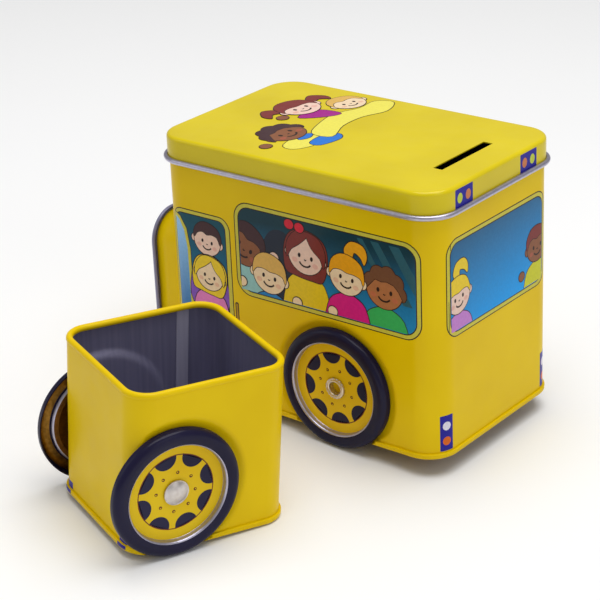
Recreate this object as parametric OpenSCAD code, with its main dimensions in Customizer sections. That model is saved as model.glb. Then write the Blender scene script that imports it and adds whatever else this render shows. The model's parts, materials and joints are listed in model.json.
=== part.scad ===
// Tin money box in the shape of a school bus, standing beside its loose hood, a small square
// tin that serves as a pencil cup. Both tins roll on stamped tin wheels held by rivets.
// Z is up and the floor is z = 0. X runs along the bus, its rear towards +X.
// The wheels reach below both tins, so each tin leans on its lower front edge.

/* [Bus tin] */
// Length of the bus body from front wall to rear wall
bus_length = 127.8; // [100:0.1:160]
// Width of the bus body across its long walls
bus_width = 80; // [60:0.5:100]
// Height of the bus body under the lid
bus_height = 103; // [80:0.1:130]
// Radius of the upright corners of the bus body
bus_corner = 11.3; // [6:0.1:16]
// Thickness of the tin sheet everywhere
sheet = 0.4; // [0.3:0.05:0.8]
// Lean of the bus tin in degrees, rear end up
bus_tilt = 3.12; // [0:0.01:6]

/* [Lid] */
// Height of the lid's top above the bottom of the bus
lid_top = 104.4; // [90:0.1:130]
// Height of the middle of the rolled edge under the lid's skirt
lid_curl_height = 95.1; // [85:0.1:100]
// Radius of the rolled edge of the lid
lid_curl = 1; // [0.8:0.1:2]
// Free gap between the lid's skirt and the body
lid_gap = 0.3; // [0.2:0.05:0.6]
// Rounding between the lid's skirt and its flat top
lid_round = 1.5; // [0.8:0.1:3]
// Length of the coin slot across the lid
slot_length = 33; // [26:0.5:40]
// Width of the coin slot
slot_width = 4; // [2.5:0.1:6]
// Distance of the coin slot from the middle of the lid towards the rear
slot_x = 49.2; // [30:0.1:54]

/* [Front pan] */
// Width of the shallow pan on the front wall over its rolled rim
pan_width = 66.6; // [50:0.1:76]
// How far the pan stands out from the front wall
pan_depth = 13.1; // [8:0.1:20]
// Corner radius of the pan's wall
pan_corner = 11; // [6:0.1:16]
// Radius of the pan's rolled rim
pan_curl = 1; // [0.6:0.1:1.6]

/* [Hood cup] */
// Length of the cup along its own rolling direction
cup_length = 60.9; // [45:0.1:75]
// Width of the cup across its wheels
cup_width = 59.9; // [45:0.1:75]
// Height of the cup
cup_height = 61.6; // [45:0.1:80]
// Radius of the cup's upright corners
cup_corner = 9.4; // [5:0.1:14]
// Radius of the cup's rolled rim
cup_curl = 1.25; // [0.8:0.05:1.8]
// Lean of the cup in degrees, its wheeled end up
cup_tilt = 2.07; // [0:0.01:5]
// Turn of the cup from the bus's length
cup_yaw = 68.3; // [0:0.1:180]
// Place of the cup's middle along the bus from the bus's middle
cup_x = -3.5; // [-60:0.1:60]
// Place of the cup's middle sideways from the bus's middle
cup_y = -109.6; // [-140:0.1:-90]

/* [Wheels] */
// Radius of every wheel
wheel_radius = 24.1; // [18:0.1:30]
// How far the tyre stands out of the wall
tyre_out = 2.7; // [1:0.1:5]
// Radius of the pressed wells around the wheels
well_radius = 28; // [25:0.1:32]
// Depth of the pressed wells
well_depth = 1.6; // [0.8:0.1:3]
// Rear axle place along the bus from its middle
rear_x = 18.3; // [0:0.1:40]
// Rear wheel centre above the bottom of the bus
rear_z = 19; // [12:0.1:24]
// Front wheel centre along the cup from its middle
front_x = -14.6; // [-25:0.1:5]
// Front wheel centre above the bottom of the cup
front_z = 22.5; // [12:0.1:26]
// Outside radius of the hollow rear rivets
rear_pin = 3; // [2:0.05:4]
// Bore radius of the hollow rear rivets
rear_eye = 2.6; // [1.5:0.05:3.4]
// Flange radius of the rear rivets
rear_head = 4.2; // [3.5:0.05:6]
// Radius of the solid front rivets
front_pin = 2; // [1.5:0.05:3]
// Dome radius of the front rivets
front_head = 4.7; // [3.5:0.05:6]
// Running clearance on the radius between a wheel and its rivet
run = 0.05; // [0.02:0.01:0.1]

/* [Hidden] */
bus_shift_x = 7.9;
bus_shift_y = 56.5;
hx = bus_length / 2;
hy = bus_width / 2;
cx = cup_length / 2;
cy = cup_width / 2;
seam_out = 0.9;
seam_high = 2.2;
floor_up = 1.3;
lid_wall = lid_gap + sheet;
pan_half = pan_width / 2 - 2 * pan_curl + sheet;
foot = hx + pan_depth - pan_curl;
spacer_high = 0.9;
plate_at = spacer_high + 0.3;
plate_high = 0.5;
head_at = plate_at + plate_high + 0.3;
tyre_high = well_depth + tyre_out;
yellow = [0.93, 0.78, 0.08];
navy = [0.13, 0.12, 0.22];
bare = [0.72, 0.71, 0.76];
dark_tin = [0.35, 0.34, 0.4];

// Stands a child drawn about the bus tin's own bottom centre on the floor.
module on_bus() {
    translate([bus_shift_x, bus_shift_y, foot * sin(bus_tilt)])
        rotate([0, -bus_tilt, 0]) children();
}

// Stands a child drawn about the cup's own bottom centre on the floor.
module on_cup() {
    translate([bus_shift_x + cup_x, bus_shift_y + cup_y, (cx - 0.3) * sin(cup_tilt)])
        rotate([0, 0, cup_yaw]) rotate([0, cup_tilt, 0]) children();
}

// Carries an outline once around a rounded rectangle. Outline x points outwards from its edge.
module around(ax, ay, r) {
    for (k = [0:3]) {
        a = k % 2 == 0 ? ax : ay;
        span = (k % 2 == 0 ? ay : ax) - r;
        rotate([0, 0, 90 * k]) {
            translate([a, span, 0]) rotate([90, 0, 0]) linear_extrude(2 * span) children();
            translate([a - r, span, 0]) rotate_extrude(angle = 90, $fn = 48)
                translate([r, 0]) children();
        }
    }
}

// Flat plate or block with four rounded upright corners.
module block(ax, ay, r, z0, z1) {
    translate([0, 0, z0]) linear_extrude(z1 - z0) {
        square([2 * ax, 2 * (ay - r)], center = true);
        square([2 * (ax - r), 2 * ay], center = true);
        for (sx = [-1, 1], sy = [-1, 1])
            translate([sx * (ax - r), sy * (ay - r)]) circle(r, $fn = 48);
    }
}

// Room for both wheels at the long walls, grown by g. It runs out through the bottom edge.
module wheel_room(wx, wz, ay, g) {
    for (s = [-1, 1])
        translate([wx, s * (ay - well_depth - g + 10), wz]) rotate([90, 0, 0])
            cylinder(r = wheel_radius + 0.6 + g, h = 20, center = true, $fn = 96);
}

// The two round wells pressed into the long walls, grown by g. Low down they are narrower.
module wells(wx, wz, ay, g) {
    wheel_room(wx, wz, ay, g);
    for (s = [-1, 1])
        intersection() {
            translate([wx, s * (ay - well_depth - g + 10), wz]) rotate([90, 0, 0])
                cylinder(r = well_radius + g, h = 20, center = true, $fn = 96);
            translate([wx - 50, s > 0 ? 0 : -100, 4 - g]) cube([100, 100, 100]);
        }
}

// Open tube of sheet with the wells pressed in and a hole for each rivet.
module tube(ax, ay, r, z0, z1, wx, wz, pin) {
    difference() {
        block(ax, ay, r, z0, z1);
        wells(wx, wz, ay, 0);
        difference() {
            block(ax - sheet, ay - sheet, r - sheet, z0 - 1, z1 + 1);
            wells(wx, wz, ay, sheet);
        }
        translate([wx, 0, wz]) rotate([90, 0, 0])
            cylinder(r = pin + run, h = 4 * ay, center = true, $fn = 48);
    }
}

// Bottom plate with the folded seam that grips the lower edge of the walls between the wheels.
module seamed_bottom(ax, ay, r, wx, wz) {
    difference() {
        union() {
            around(ax, ay, r) difference() {
                union() {
                    translate([-sheet - 0.4, 0.85])
                        square([sheet + 0.4 + seam_out, seam_high - 0.85]);
                    translate([0.05, 0.85]) circle(0.85, $fn = 24);
                }
                translate([-sheet, 1]) square([sheet, seam_high]);
            }
            block(ax - sheet - 0.2, ay - sheet - 0.2, r - sheet - 0.2, floor_up, floor_up + sheet);
        }
        wheel_room(wx, wz, ay, sheet);
    }
}

// Turns a child drawn with its wheel axis along +Z onto the side wall of a tin.
module on_side(s, wx, ay, wz) {
    translate([wx, s * (ay - well_depth), wz]) rotate([s > 0 ? -90 : 90, 0, 0]) children();
}

// Stamped wheel: flat dish, upright step and a raised rounded tyre, open at its back.
module wheel(pin) {
    r1 = wheel_radius - 5.7;
    r2 = wheel_radius - 2.2;
    t = plate_high;
    b = plate_at;
    rotate_extrude($fn = 96) {
        translate([pin + run, b]) square([r1 - pin - run, t]);
        polygon([[r1 - 0.4, b], [r1 + t, b + 0.2], [r1 + 1.4, tyre_high - 1],
            [r1 + 2.2, tyre_high - t], [r2 - 0.2, tyre_high - t], [r2 + 1, tyre_high - t - 0.6],
            [wheel_radius - t, tyre_high - 2.4], [wheel_radius - t, 0.6],
            [wheel_radius, 0.6], [wheel_radius, tyre_high - 2.2], [r2 + 1.5, tyre_high - 0.8],
            [r2, tyre_high], [r1 + 2, tyre_high], [r1 + 1, tyre_high - 0.6],
            [r1 + 0.2, b + t], [r1 - 0.4, b + t]]);
    }
}

module rear_wheel(s) { on_bus() on_side(s, rear_x, hy, rear_z) wheel(rear_pin); }

module front_wheel(s) { on_cup() on_side(s, front_x, cy, front_z) wheel(front_pin); }

// Hollow rivet: rolled flange outside, tube, rolled clinch inside.
module eyelet() {
    back = -sheet - 0.5;
    rotate_extrude($fn = 64) {
        translate([rear_eye, back - 0.8]) square([rear_pin - rear_eye, head_at + 1.1 - back]);
        translate([rear_eye, head_at]) square([rear_head - rear_eye - 0.5, 0.9]);
        translate([rear_head - 0.5, head_at + 0.45]) circle(0.45, $fn = 20);
        translate([rear_eye, back - 0.8]) square([1.4, 0.8]);
    }
}

module rear_rivet(s) { on_bus() on_side(s, rear_x, hy, rear_z) eyelet(); }

// Solid rivet with a low dome outside and a flat clinched end inside.
module dome_rivet() {
    back = -sheet - 0.5;
    translate([0, 0, head_at]) intersection() {
        cylinder(r = front_head, h = 2, $fn = 64);
        translate([0, 0, -7]) sphere(8.5, $fn = 64);
    }
    translate([0, 0, back - 0.7]) cylinder(r = front_pin, h = head_at + 0.8 - back, $fn = 48);
    translate([0, 0, back - 0.7]) cylinder(r = front_pin + 1.2, h = 0.7, $fn = 48);
}

module front_rivet(s) { on_cup() on_side(s, front_x, cy, front_z) dome_rivet(); }

// Flat ring lying on the wall around a rivet, from height z0 to z1 along the axle.
module ring(pin, r, z0, z1) {
    translate([0, 0, z0]) difference() {
        cylinder(r = r, h = z1 - z0, $fn = 64);
        translate([0, 0, -1]) cylinder(r = pin + run, h = 4, $fn = 48);
    }
}

module rear_spacer(s) {
    on_bus() on_side(s, rear_x, hy, rear_z) ring(rear_pin, 6, 0, spacer_high);
}

module rear_washer(s) {
    on_bus() on_side(s, rear_x, hy, rear_z) ring(rear_pin, 6.5, -sheet - 0.5, -sheet);
}

module front_spacer(s) {
    on_cup() on_side(s, front_x, cy, front_z) ring(front_pin, 5, 0, spacer_high);
}

module front_washer(s) {
    on_cup() on_side(s, front_x, cy, front_z) ring(front_pin, 5, -sheet - 0.5, -sheet);
}

// Slip lid with a coin slot and a bare rolled lower edge.
module lid() {
    ax = hx + lid_wall;
    ay = hy + lid_wall;
    r = bus_corner + lid_wall;
    color(yellow) on_bus() {
        around(ax, ay, r) {
            translate([-sheet, lid_curl_height]) square([sheet, lid_top - lid_round - lid_curl_height]);
            translate([-sheet + lid_curl, lid_curl_height]) circle(lid_curl, $fn = 24);
            translate([-lid_round, lid_top - lid_round]) intersection() {
                difference() {
                    circle(lid_round, $fn = 32);
                    circle(lid_round - sheet, $fn = 32);
                }
                square(lid_round);
            }
        }
        difference() {
            block(ax - lid_round, ay - lid_round, r - lid_round, lid_top - sheet, lid_top);
            translate([slot_x, 0, lid_top])
                cube([slot_width, slot_length, 4], center = true);
        }
    }
}

module bus_body() {
    color(yellow) on_bus() tube(hx, hy, bus_corner, 1, bus_height, rear_x, rear_z, rear_pin);
}

module bus_bottom() {
    color(yellow) on_bus() seamed_bottom(hx, hy, bus_corner, rear_x, rear_z);
}

// Shallow pan fixed on the front wall, open side forwards, notched over the bottom seam.
module front_pan() {
    color(yellow) on_bus() difference() {
        translate([-hx, 0, pan_width / 2]) rotate([0, -90, 0]) {
            around(pan_half, pan_half, pan_corner) {
                translate([-sheet, 0]) square([sheet, pan_depth - pan_curl]);
                translate([-sheet + pan_curl, pan_depth - pan_curl]) circle(pan_curl, $fn = 24);
            }
            block(pan_half - 0.2, pan_half - 0.2, pan_corner - 0.2, 0, sheet);
        }
        block(hx + seam_out, hy + seam_out, bus_corner + seam_out, -1, seam_high);
    }
}

module rear_left_wheel() { color(navy) rear_wheel(-1); }
module rear_left_rivet() { color(bare) rear_rivet(-1); }
module rear_left_spacer() { color(dark_tin) rear_spacer(-1); }
module rear_left_washer() { color(dark_tin) rear_washer(-1); }
module rear_right_wheel() { color(navy) rear_wheel(1); }
module rear_right_rivet() { color(bare) rear_rivet(1); }
module rear_right_spacer() { color(dark_tin) rear_spacer(1); }
module rear_right_washer() { color(dark_tin) rear_washer(1); }

// Open cup with a rolled rim and the folded lock seam up the inside of one wall.
module cup_body() {
    color(yellow) on_cup() {
        tube(cx, cy, cup_corner, 1, cup_height - cup_curl, front_x, front_z, front_pin);
        around(cx, cy, cup_corner)
            translate([0.3 - cup_curl, cup_height - cup_curl]) circle(cup_curl, $fn = 24);
        translate([16, cy - sheet - 0.4, 2.5]) cube([5, 0.5, cup_height - 4.5]);
    }
}

module cup_bottom() {
    color(yellow) on_cup() seamed_bottom(cx, cy, cup_corner, front_x, front_z);
}

module front_left_wheel() { color(navy) front_wheel(-1); }
module front_left_rivet() { color(bare) front_rivet(-1); }
module front_left_spacer() { color(dark_tin) front_spacer(-1); }
module front_left_washer() { color(dark_tin) front_washer(-1); }
module front_right_wheel() { color(navy) front_wheel(1); }
module front_right_rivet() { color(bare) front_rivet(1); }
module front_right_spacer() { color(dark_tin) front_spacer(1); }
module front_right_washer() { color(dark_tin) front_washer(1); }

lid();
bus_body();
bus_bottom();
front_pan();
rear_left_wheel();
rear_left_rivet();
rear_left_spacer();
rear_left_washer();
rear_right_wheel();
rear_right_rivet();
rear_right_spacer();
rear_right_washer();
cup_body();
cup_bottom();
front_left_wheel();
front_left_rivet();
front_left_spacer();
front_left_washer();
front_right_wheel();
front_right_rivet();
front_right_spacer();
front_right_washer();
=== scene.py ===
# %% [markdown]
# # A tin school bus money box and its hood cup
# The model is made of two tins that stand partly on their wheels. The CAD frame already says where every
# part is and how it moves. Blender adds what sheet tin really looks like: curled edges, printed
# ink, bare metal inside, and wheels stamped from one disc.

# %% Load the frame
import itertools
import json
import math
import bpy
import bmesh
from mathutils import Matrix, Vector


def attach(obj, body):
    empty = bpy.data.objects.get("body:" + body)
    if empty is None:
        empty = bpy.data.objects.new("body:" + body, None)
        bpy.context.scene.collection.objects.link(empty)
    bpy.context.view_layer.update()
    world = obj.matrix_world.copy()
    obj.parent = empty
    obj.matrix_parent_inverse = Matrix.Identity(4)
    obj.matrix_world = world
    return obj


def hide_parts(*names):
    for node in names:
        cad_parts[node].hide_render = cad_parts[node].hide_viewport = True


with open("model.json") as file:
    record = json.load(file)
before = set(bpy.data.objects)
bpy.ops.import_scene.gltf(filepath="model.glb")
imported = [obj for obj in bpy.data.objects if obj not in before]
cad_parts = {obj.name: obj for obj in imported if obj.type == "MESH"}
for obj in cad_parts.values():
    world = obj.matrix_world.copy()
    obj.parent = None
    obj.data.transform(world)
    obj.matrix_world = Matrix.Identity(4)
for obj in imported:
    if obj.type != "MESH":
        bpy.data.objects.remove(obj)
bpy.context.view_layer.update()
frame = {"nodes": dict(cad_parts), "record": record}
record = frame["record"]
MM = 0.001
print("parts in the frame:", len(frame["nodes"]))

# %% [markdown]
# Each tin leans, because its wheels reach below its bottom. It is easier to model a tin upright
# about its own bottom centre and to lean it afterwards, so two matrices carry finished meshes to
# their places. The joints give both places, the bus's lean and the cup's turn. The cup leans
# about its own axle, which no joint shows, so that one angle is a value here.

# %% Where the two tins stand
joints = {j["name"]: j for j in record["behaviour"]["joints"]}
AXLE_X, AXLE_Z = 18.3, 19.0
CUP_AXLE_X, CUP_AXLE_Z = -14.6, 22.5
CUP_LEAN = math.radians(2.07)


def middle(a, b):
    return (Vector(joints[a]["pos_m"]) + Vector(joints[b]["pos_m"])) / 2


lift = joints["lid_lift"]["axis"]
bus_lean = math.atan2(-lift[0], lift[2])
BUS = (Matrix.Translation(middle("rear_left_spin", "rear_right_spin"))
       @ Matrix.Rotation(-bus_lean, 4, "Y")
       @ Matrix.Translation((-AXLE_X * MM, 0, -AXLE_Z * MM)))
axle = joints["front_left_spin"]["axis"]
cup_turn = math.atan2(-axle[0], axle[1])
CUP = (Matrix.Translation(middle("front_left_spin", "front_right_spin"))
       @ Matrix.Rotation(cup_turn, 4, "Z") @ Matrix.Rotation(CUP_LEAN, 4, "Y")
       @ Matrix.Translation((-CUP_AXLE_X * MM, 0, -CUP_AXLE_Z * MM)))
print("bus leans", round(math.degrees(bus_lean), 2), "cup turned", round(math.degrees(cup_turn), 1))

# %% Sizes of the two tins in millimetres
SHEET = 0.4
BUS_X, BUS_Y, BUS_R = 63.9, 40.0, 11.3
LID_OUT, LID_TOP, LID_CURL_Z, LID_CURL = 0.7, 104.4, 95.1, 1.0
CUP_X, CUP_Y, CUP_R, CUP_H = 30.45, 29.95, 9.4, 61.6
WELL_R, WELL_DEEP, WELL_EDGE = 27.6, 1.6, 3.0
WELL_FOOT, WELL_FULL, SEAM_EDGE, SEAM_WELL = 2.8, 5.8, 0.2, 2.4
WHEEL_R, WHEEL_ROOM, TYRE_OUT = 24.1, 0.7, 2.7
BUS_BORE, CUP_BORE = 3.05, 2.05
SLOT_X, SLOT_WIDE, SLOT_LONG = 49.2, 4, 33
print("bus", 2 * BUS_X, "by", 2 * BUS_Y, "cup", 2 * CUP_X, "by", 2 * CUP_Y)

# %% [markdown]
# Finishes come first. Printed tin is a glossy varnish over ink over white enamel, so its colour
# hardly changes but its reflection ripples a little, because thin sheet is never quite flat. Bare
# tin is a metal with a fine drawn grain. Both are built from noise on Object coordinates.

# %% Helpers for node materials


def tone(r, g, b):
    """A colour given from 0 to 255 as the eye sees it, turned into linear light."""
    out = []
    for c in (r, g, b):
        c = c / 255
        out.append(c / 12.92 if c <= 0.04045 else ((c + 0.055) / 1.055) ** 2.4)
    return (*out, 1.0)


def shader(name, **values):
    """A new material with its Principled shader's own sockets set."""
    mat = bpy.data.materials.new(name)
    mat.use_nodes = True
    bsdf = mat.node_tree.nodes["Principled BSDF"]
    for key, value in values.items():
        bsdf.inputs[key.replace("_", " ")].default_value = value
    return mat, mat.node_tree, bsdf


def node(tree, kind, *wires, out=0, **settings):
    """Adds a node. Each wire is (input name or number, socket or value)."""
    n = tree.nodes.new(kind)
    for key, value in settings.items():
        setattr(n, key, value)
    for key, value in wires:
        if isinstance(value, bpy.types.NodeSocket):
            tree.links.new(value, n.inputs[key])
        else:
            n.inputs[key].default_value = value
    return n.outputs[out]


def noise(tree, scale, detail=3.0, stretch=(1, 1, 1)):
    """Noise on Object coordinates, stretched along the axes for a drawn grain."""
    where = node(tree, "ShaderNodeTexCoord", out="Object")
    placed = node(tree, "ShaderNodeMapping", ("Vector", where), ("Scale", stretch))
    return node(tree, "ShaderNodeTexNoise", ("Vector", placed), ("Scale", scale), ("Detail", detail))


def between(tree, fac, low, high, start=0.3, end=0.7):
    """Noise turned into a colour that runs from low to high."""
    ramp = tree.nodes.new("ShaderNodeValToRGB")
    ramp.color_ramp.elements[0].position = start
    ramp.color_ramp.elements[0].color = low
    ramp.color_ramp.elements[1].position = end
    ramp.color_ramp.elements[1].color = high
    tree.links.new(fac, ramp.inputs["Fac"])
    return ramp.outputs["Color"]


def span(tree, fac, low, high):
    """Noise turned into a number between low and high."""
    return node(tree, "ShaderNodeMapRange", ("Value", fac), ("From Min", 0.3), ("From Max", 0.7),
                ("To Min", low), ("To Max", high))


def ripple(tree, bsdf, layers):
    """Bumps stacked on each other: pairs of noise and height in metres."""
    last = None
    for fac, height in layers:
        wires = [("Height", fac), ("Strength", 1.0), ("Distance", height)]
        wires += [("Normal", last)] if last else []
        last = node(tree, "ShaderNodeBump", *wires)
    tree.links.new(last, bsdf.inputs["Normal"])
    tree.links.new(last, bsdf.inputs["Coat Normal"])


print("material helpers ready")


# %% Printed and varnished tin


def printed_tin(name, low, high, rough=(0.3, 0.42), waves=0.00030, coat=0.09):
    mat, tree, bsdf = shader(name, Coat_Weight=coat, Coat_Roughness=0.14, Specular_IOR_Level=0.07)
    tree.links.new(between(tree, noise(tree, 34, 2), low, high), bsdf.inputs["Base Color"])
    tree.links.new(span(tree, noise(tree, 160, 2), *rough), bsdf.inputs["Roughness"])
    ripple(tree, bsdf, [(noise(tree, 26, 1), waves), (noise(tree, 500, 0), 0.000003)])
    return mat


YELLOW = printed_tin("yellow_print", tone(228, 192, 2), tone(236, 202, 6))
LID_YELLOW = printed_tin("lid_yellow_print", tone(212, 190, 8), tone(222, 201, 16), coat=0.4)
DISH_YELLOW = printed_tin("wheel_yellow_print", tone(222, 182, 18), tone(235, 200, 30), waves=0.0001)
# Navy prints the tyre and also paints a ring of shade on the wheel's back.
NAVY_PRINT_AND_SHADE = printed_tin("tyre_navy_print_and_painted_shade", tone(24, 21, 46), tone(31, 28, 58), (0.3, 0.4), 0.00005, 0.2)
print("printed finishes:", len(bpy.data.materials))

# %% Bare and lacquered metal


def bare_tin(name, low, high, rough=(0.3, 0.5), stretch=(1, 1, 40), metallic=0.9, grain=700):
    mat, tree, bsdf = shader(name, Metallic=metallic)
    tree.links.new(between(tree, noise(tree, grain, 1, stretch), low, high), bsdf.inputs["Base Color"])
    tree.links.new(span(tree, noise(tree, grain * 0.4, 1, stretch), *rough), bsdf.inputs["Roughness"])
    ripple(tree, bsdf, [(noise(tree, 30, 1), 0.00010), (noise(tree, grain * 0.5, 0, stretch), 0.000002)])
    return mat


EVEN, DRAWN = (1, 1, 1), (1, 1, 0.03)
DULL, SATIN = (0.42, 0.5), (0.3, 0.36)
# The inner faces get bare tin coloured darker than the outer curls: painted shade for the dark inside of the
# tins.
PAINTED_SHADE_TIN = bare_tin("bare_tin_inside_painted_shade", tone(124, 122, 150), tone(134, 132, 160), DULL, DRAWN, 0.35)
# The lock seam gets a lighter copy of the inside tin: a painted highlight for the light band on the cup's
# inner wall.
PAINTED_HIGHLIGHT_SEAM_TIN = bare_tin("lock_seam_painted_highlight", tone(176, 174, 196), tone(186, 184, 204), DULL, DRAWN, 0.3)
SILVER = bare_tin("bare_rolled_edge", tone(176, 172, 192), tone(188, 185, 202), SATIN, EVEN)
RIVET = bare_tin("rivet_steel", tone(198, 190, 186), tone(210, 204, 200), SATIN, EVEN)
EYELET = bare_tin("eyelet_steel", tone(206, 196, 186), tone(216, 206, 196), (0.26, 0.32), EVEN)
GOLD = bare_tin("gold_lacquer", tone(120, 84, 26), tone(152, 110, 44), (0.3, 0.45), EVEN)
# Brown is the wheels' lacquered back and also a painted reflection inside the bus eyelets.
BROWN_LACQUER_AND_REFLECTION = bare_tin("brown_lacquer_and_painted_reflection", tone(92, 60, 22), tone(116, 76, 30), (0.34, 0.5), EVEN)
print("materials so far:", len(bpy.data.materials))

# %% [markdown]
# Every wall, rim, seam and skirt of a tin is one outline carried once around a rounded rectangle.
# A sweep along a curve could do that, but it would not keep the outline's points or the pressed
# wheel wells. So one Geometry Nodes tree lays a grid, reads the rounded rectangle at the grid's
# column and the outline at its row, and adds the two. The outline is the object's own mesh.

# %% Small helpers for Geometry Nodes


def tree_with(name, inputs):
    """An empty tree with named inputs and one geometry output."""
    tree = bpy.data.node_groups.new(name, "GeometryNodeTree")
    tree.interface.new_socket(name="Geometry", in_out="INPUT", socket_type="NodeSocketGeometry")
    for label, kind in inputs:
        tree.interface.new_socket(name=label, in_out="INPUT", socket_type="NodeSocket" + kind)
    tree.interface.new_socket(name="Geometry", in_out="OUTPUT", socket_type="NodeSocketGeometry")
    return tree, tree.nodes.new("NodeGroupInput").outputs


def maths(tree, operation, a, b=0.0):
    return node(tree, "ShaderNodeMath", (0, a), (1, b), operation=operation)


def vectors(tree, operation, a, b=None, scale=None):
    wires = [(0, a)] + ([(1, b)] if b is not None else [])
    wires += [("Scale", scale)] if scale is not None else []
    return node(tree, "ShaderNodeVectorMath", *wires, operation=operation)


def close_tree(tree, geometry, material):
    """Realizes instances, sets the material and ends the tree."""
    real = node(tree, "GeometryNodeRealizeInstances", ("Geometry", geometry))
    done = node(tree, "GeometryNodeSetMaterial", ("Geometry", real), ("Material", material))
    tree.links.new(done, tree.nodes.new("NodeGroupOutput").inputs[0])


print("node helpers ready")

# %% The tree that carries an outline around a tin
around_tin, ins = tree_with("around_tin", [
    ("Length", "Float"), ("Width", "Float"), ("Corner", "Float"), ("Steps", "Int"),
    ("Well X", "Float"), ("Well Z", "Float"), ("Well Radius", "Float"), ("Well Depth", "Float"),
    ("Material", "Material")])
t = around_tin
rows = node(t, "GeometryNodeAttributeDomainSize", ("Geometry", ins["Geometry"]))
rectangle = node(t, "GeometryNodeCurvePrimitiveQuadrilateral",
                 ("Width", ins["Length"]), ("Height", ins["Width"]))
path = node(t, "GeometryNodeFilletCurve", ("Curve", rectangle), ("Count", 40),
            ("Radius", ins["Corner"]), mode="POLY")
grid = node(t, "GeometryNodeMeshGrid", ("Size X", 1.0), ("Size Y", 1.0),
            ("Vertices X", ins["Steps"]), ("Vertices Y", rows))
index = node(t, "GeometryNodeInputIndex")
row = maths(t, "MODULO", index, rows)
column = maths(t, "FLOOR", maths(t, "DIVIDE", index, rows))
along = maths(t, "DIVIDE", column, maths(t, "SUBTRACT", ins["Steps"], 1.0))
sample = t.nodes.new("GeometryNodeSampleCurve")
sample.mode = "FACTOR"
t.links.new(path, sample.inputs["Curves"])
t.links.new(along, sample.inputs["Factor"])
up = (0.0, 0.0, 1.0)
outward = vectors(t, "NORMALIZE", vectors(t, "CROSS_PRODUCT", sample.outputs["Tangent"], up))
outline = node(t, "GeometryNodeSampleIndex", ("Geometry", ins["Geometry"]),
               (1, node(t, "GeometryNodeInputPosition")), ("Index", row), data_type="FLOAT_VECTOR")
part = t.nodes.new("ShaderNodeSeparateXYZ")
t.links.new(outline, part.inputs[0])
lifted = node(t, "ShaderNodeCombineXYZ", ("Z", part.outputs["Y"]))
spot = vectors(t, "ADD", vectors(t, "ADD", sample.outputs["Position"], lifted),
               vectors(t, "SCALE", outward, scale=part.outputs["X"]))
print("grid columns and rows are wired")

# %% [markdown]
# The wheel wells are pressed flat and shallow, with a soft edge. Near an axle the side walls are
# simply not allowed out as far as the rest, which also cuts through the rounded corner as the
# real press tool does. Down at the bottom seam the well narrows to just the wheel's own room.

# %% Press the wheel wells and finish the tree
xyz = t.nodes.new("ShaderNodeSeparateXYZ")
t.links.new(spot, xyz.inputs[0])
dx = maths(t, "SUBTRACT", xyz.outputs["X"], ins["Well X"])
dz = maths(t, "SUBTRACT", xyz.outputs["Z"], ins["Well Z"])
reach = maths(t, "SQRT", maths(t, "ADD", maths(t, "MULTIPLY", dx, dx), maths(t, "MULTIPLY", dz, dz)))
above = node(t, "ShaderNodeMapRange", ("Value", xyz.outputs["Z"]), ("From Min", WELL_FOOT * MM),
             ("From Max", WELL_FULL * MM), ("To Min", 0.0), ("To Max", 1.0), interpolation_type="SMOOTHSTEP")
low_r = (WHEEL_R + WHEEL_ROOM) * MM
rim_r = node(t, "ShaderNodeMix", (0, above), (2, low_r), (3, ins["Well Radius"]))
edge = maths(t, "ADD", maths(t, "MULTIPLY", above, WELL_EDGE * MM), SEAM_EDGE * MM)
press = node(t, "ShaderNodeMapRange", ("Value", reach), ("From Min", maths(t, "SUBTRACT", rim_r, edge)),
             ("From Max", rim_r), ("To Min", 1.0), ("To Max", 0.0), interpolation_type="SMOOTHSTEP")
limit = maths(t, "SUBTRACT", maths(t, "MULTIPLY", ins["Width"], 0.5),
              maths(t, "MULTIPLY", press, ins["Well Depth"]))
path_at = t.nodes.new("ShaderNodeSeparateXYZ")
t.links.new(sample.outputs["Position"], path_at.inputs[0])
too_far = maths(t, "MAXIMUM", maths(t, "SUBTRACT", maths(t, "ABSOLUTE", path_at.outputs["Y"]), limit), 0.0)
shift = maths(t, "MULTIPLY", too_far, maths(t, "SIGN", path_at.outputs["Y"]))
wall_y = maths(t, "SUBTRACT", xyz.outputs["Y"], shift)
final = node(t, "ShaderNodeCombineXYZ", ("X", xyz.outputs["X"]), ("Y", wall_y), ("Z", xyz.outputs["Z"]))
placed = node(t, "GeometryNodeSetPosition", ("Geometry", grid), ("Position", final))
joined = node(t, "GeometryNodeMergeByDistance", ("Geometry", placed), ("Distance", 0.00002))
angle = node(t, "GeometryNodeInputMeshEdgeAngle")
sharp = node(t, "ShaderNodeMath", (0, angle), (1, 0.6), operation="GREATER_THAN")
smooth = node(t, "GeometryNodeSetShadeSmooth", ("Geometry", joined), ("Shade Smooth", True), domain="FACE")
creased = node(t, "GeometryNodeSetShadeSmooth", ("Geometry", smooth), ("Selection", sharp),
               ("Shade Smooth", False), domain="EDGE")
close_tree(t, creased, ins["Material"])
print("tree around_tin has", len(t.nodes), "nodes")

# %% Run a tree and keep its result as a plain mesh


def link_object(name, data):
    obj = bpy.data.objects.new(name, data)
    bpy.context.scene.collection.objects.link(obj)
    return obj


def mesh_from(bm, name, *materials):
    """Ends a bmesh as a mesh with its materials."""
    mesh = bpy.data.meshes.new(name)
    bm.to_mesh(mesh)
    bm.free()
    for material in materials:
        mesh.materials.append(material)
    return mesh


def plain_mesh(maker):
    """Keeps what an object's modifiers make as a plain mesh, and removes the object."""
    deps = bpy.context.evaluated_depsgraph_get()
    mesh = bpy.data.meshes.new_from_object(maker.evaluated_get(deps))
    bpy.data.objects.remove(maker)
    return mesh


def piece_from(name, mesh, body, replaces=()):
    obj = link_object(name, mesh)
    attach(obj, body)
    if replaces:
        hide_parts(*replaces)
    return obj


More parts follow.
